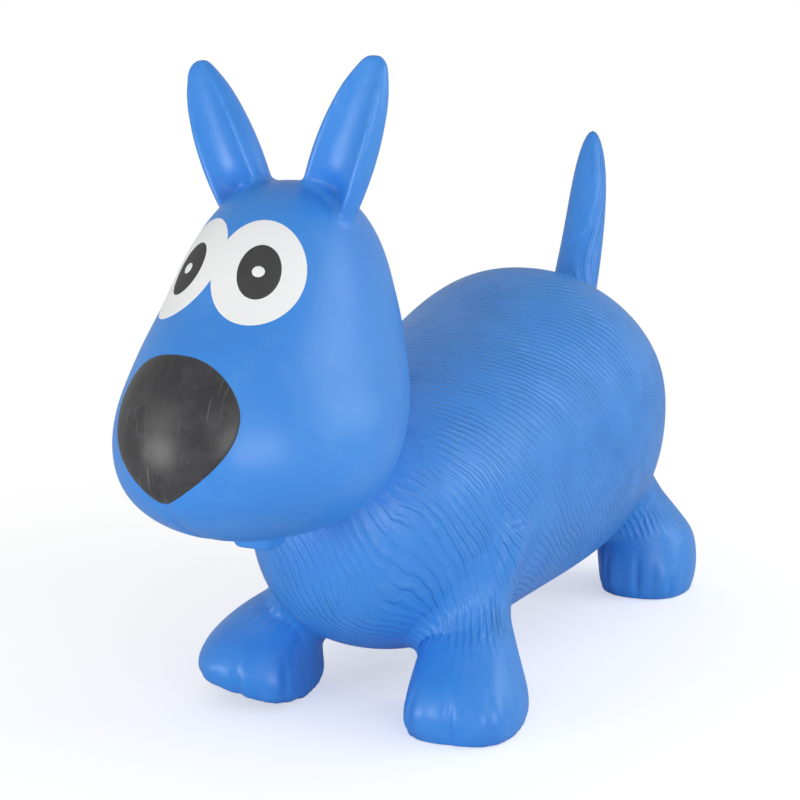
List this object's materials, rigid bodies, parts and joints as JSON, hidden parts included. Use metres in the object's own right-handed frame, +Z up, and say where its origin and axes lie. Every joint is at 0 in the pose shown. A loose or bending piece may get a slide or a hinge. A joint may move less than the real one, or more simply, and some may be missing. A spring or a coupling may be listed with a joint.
{
  "type": "inflatable ride-on hopper dog",
  "caption": "Inflatable PVC hopper dog that a small child sits on and bounces, with soft paws, bending ears, a wagging tail and an air valve plug.",
  "frame": {"origin": "on the floor, midway between the nose and the back of the tail", "axes": "+Z up, +Y towards the tail so the nose is at -Y, +X towards the dog's own left"},
  "size_m": [0.242, 0.646, 0.4378],
  "materials": {
    "blue_skin": "soft satin PVC, blown up firm",
    "nose_paint": "satin black",
    "white_paint": "matt white",
    "pupil_paint": "matt black",
    "plug_plastic": "smooth white"
  },
  "bodies": {
    "skin": {"torso": "blue_skin", "head": "blue_skin", "lip_left": "blue_skin", "lip_right": "blue_skin", "ear_left_root": "blue_skin", "ear_right_root": "blue_skin", "tail_root": "blue_skin", "front_left_leg": "blue_skin", "front_right_leg": "blue_skin", "rear_left_leg": "blue_skin", "rear_right_leg": "blue_skin", "nose": "nose_paint", "eye_white_left": "white_paint", "pupil_left": "pupil_paint", "pupil_glint_left": "white_paint", "eye_white_right": "white_paint", "pupil_right": "pupil_paint", "pupil_glint_right": "white_paint"},
    "ear_left": {"ear_left": "blue_skin"},
    "ear_right": {"ear_right": "blue_skin"},
    "tail": {"tail": "blue_skin"},
    "valve_plug": {"valve_plug": "plug_plastic"},
    "front_left_paw": {"front_left_paw": "blue_skin"},
    "front_right_paw": {"front_right_paw": "blue_skin"},
    "rear_left_paw": {"rear_left_paw": "blue_skin"},
    "rear_right_paw": {"rear_right_paw": "blue_skin"}
  },
  "joints": [
    {"name": "ear_left_bend", "type": "hinge", "parent": "skin", "child": "ear_left", "pos_m": [0.029, -0.1805, 0.34588], "axis": [0.9272, 0, -0.3746], "range_deg": [-25, 25], "stiffness_Nm_per_rad": 0.9, "deforming": ["ear_left_root"]},
    {"name": "ear_right_bend", "type": "hinge", "parent": "skin", "child": "ear_right", "pos_m": [-0.029, -0.1805, 0.34588], "axis": [0.9272, 0, 0.3746], "range_deg": [-25, 25], "stiffness_Nm_per_rad": 0.9, "deforming": ["ear_right_root"]},
    {"name": "tail_wag", "type": "hinge", "parent": "skin", "child": "tail", "pos_m": [0, 0.2785, 0.25036], "axis": [0, 0.866, -0.5], "range_deg": [-25, 25], "stiffness_Nm_per_rad": 1.2, "deforming": ["tail_root"]},
    {"name": "front_left_bounce", "type": "slide", "parent": "skin", "child": "front_left_paw", "axis": [0, 0, 1], "range_m": [0, 0.012], "stiffness_N_per_m": 2000, "springref_m": -0.005, "deforming": ["front_left_leg"]},
    {"name": "front_right_bounce", "type": "slide", "parent": "skin", "child": "front_right_paw", "axis": [0, 0, 1], "range_m": [0, 0.012], "stiffness_N_per_m": 2000, "springref_m": -0.005, "deforming": ["front_right_leg"]},
    {"name": "rear_left_bounce", "type": "slide", "parent": "skin", "child": "rear_left_paw", "axis": [0, 0, 1], "range_m": [0, 0.012], "stiffness_N_per_m": 2000, "springref_m": -0.005, "deforming": ["rear_left_leg"]},
    {"name": "rear_right_bounce", "type": "slide", "parent": "skin", "child": "rear_right_paw", "axis": [0, 0, 1], "range_m": [0, 0.012], "stiffness_N_per_m": 2000, "springref_m": -0.005, "deforming": ["rear_right_leg"]},
    {"name": "valve_plug_pull", "type": "slide", "parent": "skin", "child": "valve_plug", "axis": [0, 0, -1], "range_m": [0, 0.018]}
  ]
}
